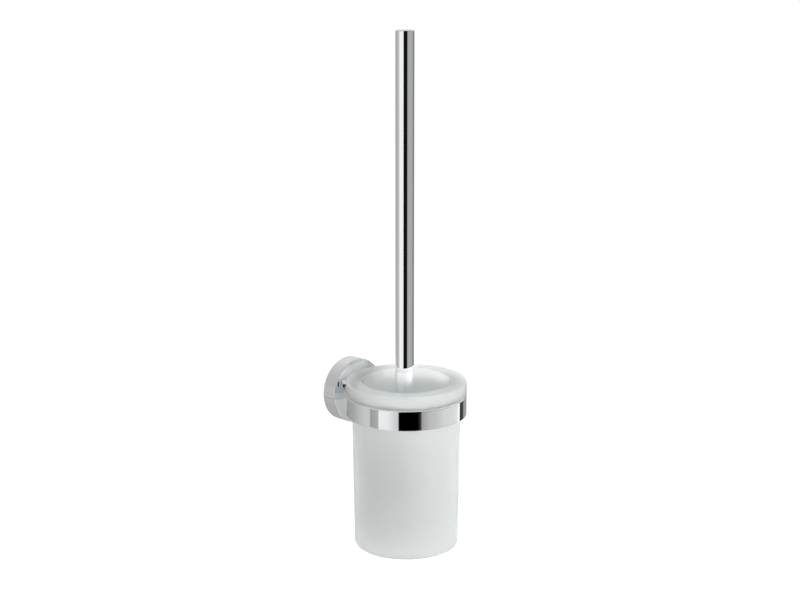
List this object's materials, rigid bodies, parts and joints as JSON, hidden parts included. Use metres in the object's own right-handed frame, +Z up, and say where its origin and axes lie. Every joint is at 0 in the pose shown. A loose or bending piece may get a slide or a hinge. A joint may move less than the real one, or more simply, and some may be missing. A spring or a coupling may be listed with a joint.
{
  "type": "toilet brush holder",
  "caption": "Wall-mounted toilet brush holder: chrome rosette and ring, lift-out frosted glass tumbler, and a brush with a long straight round handle.",
  "frame": {"origin": "centre of the wall plate's back face, on the plane of the wall (y = 0)", "axes": "+Z up along the handle, +Y into the wall, so the ring and tumbler stand out towards -Y; +X to the right seen from the room"},
  "size_m": [0.09, 0.1089, 0.3852],
  "materials": {
    "polished_chrome": "polished",
    "zinc_plated_steel": "satin",
    "stainless_screw": "satin",
    "frosted_glass": "satin",
    "liner_plastic": "satin",
    "brush_plastic": "satin",
    "seal_rubber": "matte",
    "bristles": "matte"
  },
  "bodies": {
    "holder": {"wall_plate": "zinc_plated_steel", "wall_rosette": "polished_chrome", "rosette_grub_screw": "stainless_screw", "arm_post": "polished_chrome", "arm_screw": "stainless_screw", "arm_lock_washer": "stainless_screw", "arm_nut": "stainless_screw", "holder_ring": "polished_chrome", "ring_liner": "liner_plastic"},
    "tumbler": {"glass_tumbler": "frosted_glass"},
    "brush": {"handle_tube": "polished_chrome", "handle_end_cap": "polished_chrome", "handle_bush": "brush_plastic", "handle_stud": "stainless_screw", "handle_seal": "seal_rubber", "brush_collar": "brush_plastic", "brush_core": "brush_plastic", "brush_side_tufts": "bristles", "brush_tip_tufts": "bristles"}
  },
  "joints": [
    {"name": "tumbler_lift", "type": "slide", "parent": "holder", "child": "tumbler", "axis": [0, 0, 1], "range_m": [0, 0.14]},
    {"name": "brush_lift", "type": "slide", "parent": "tumbler", "child": "brush", "axis": [0, 0, 1], "range_m": [0, 0.14]}
  ]
}
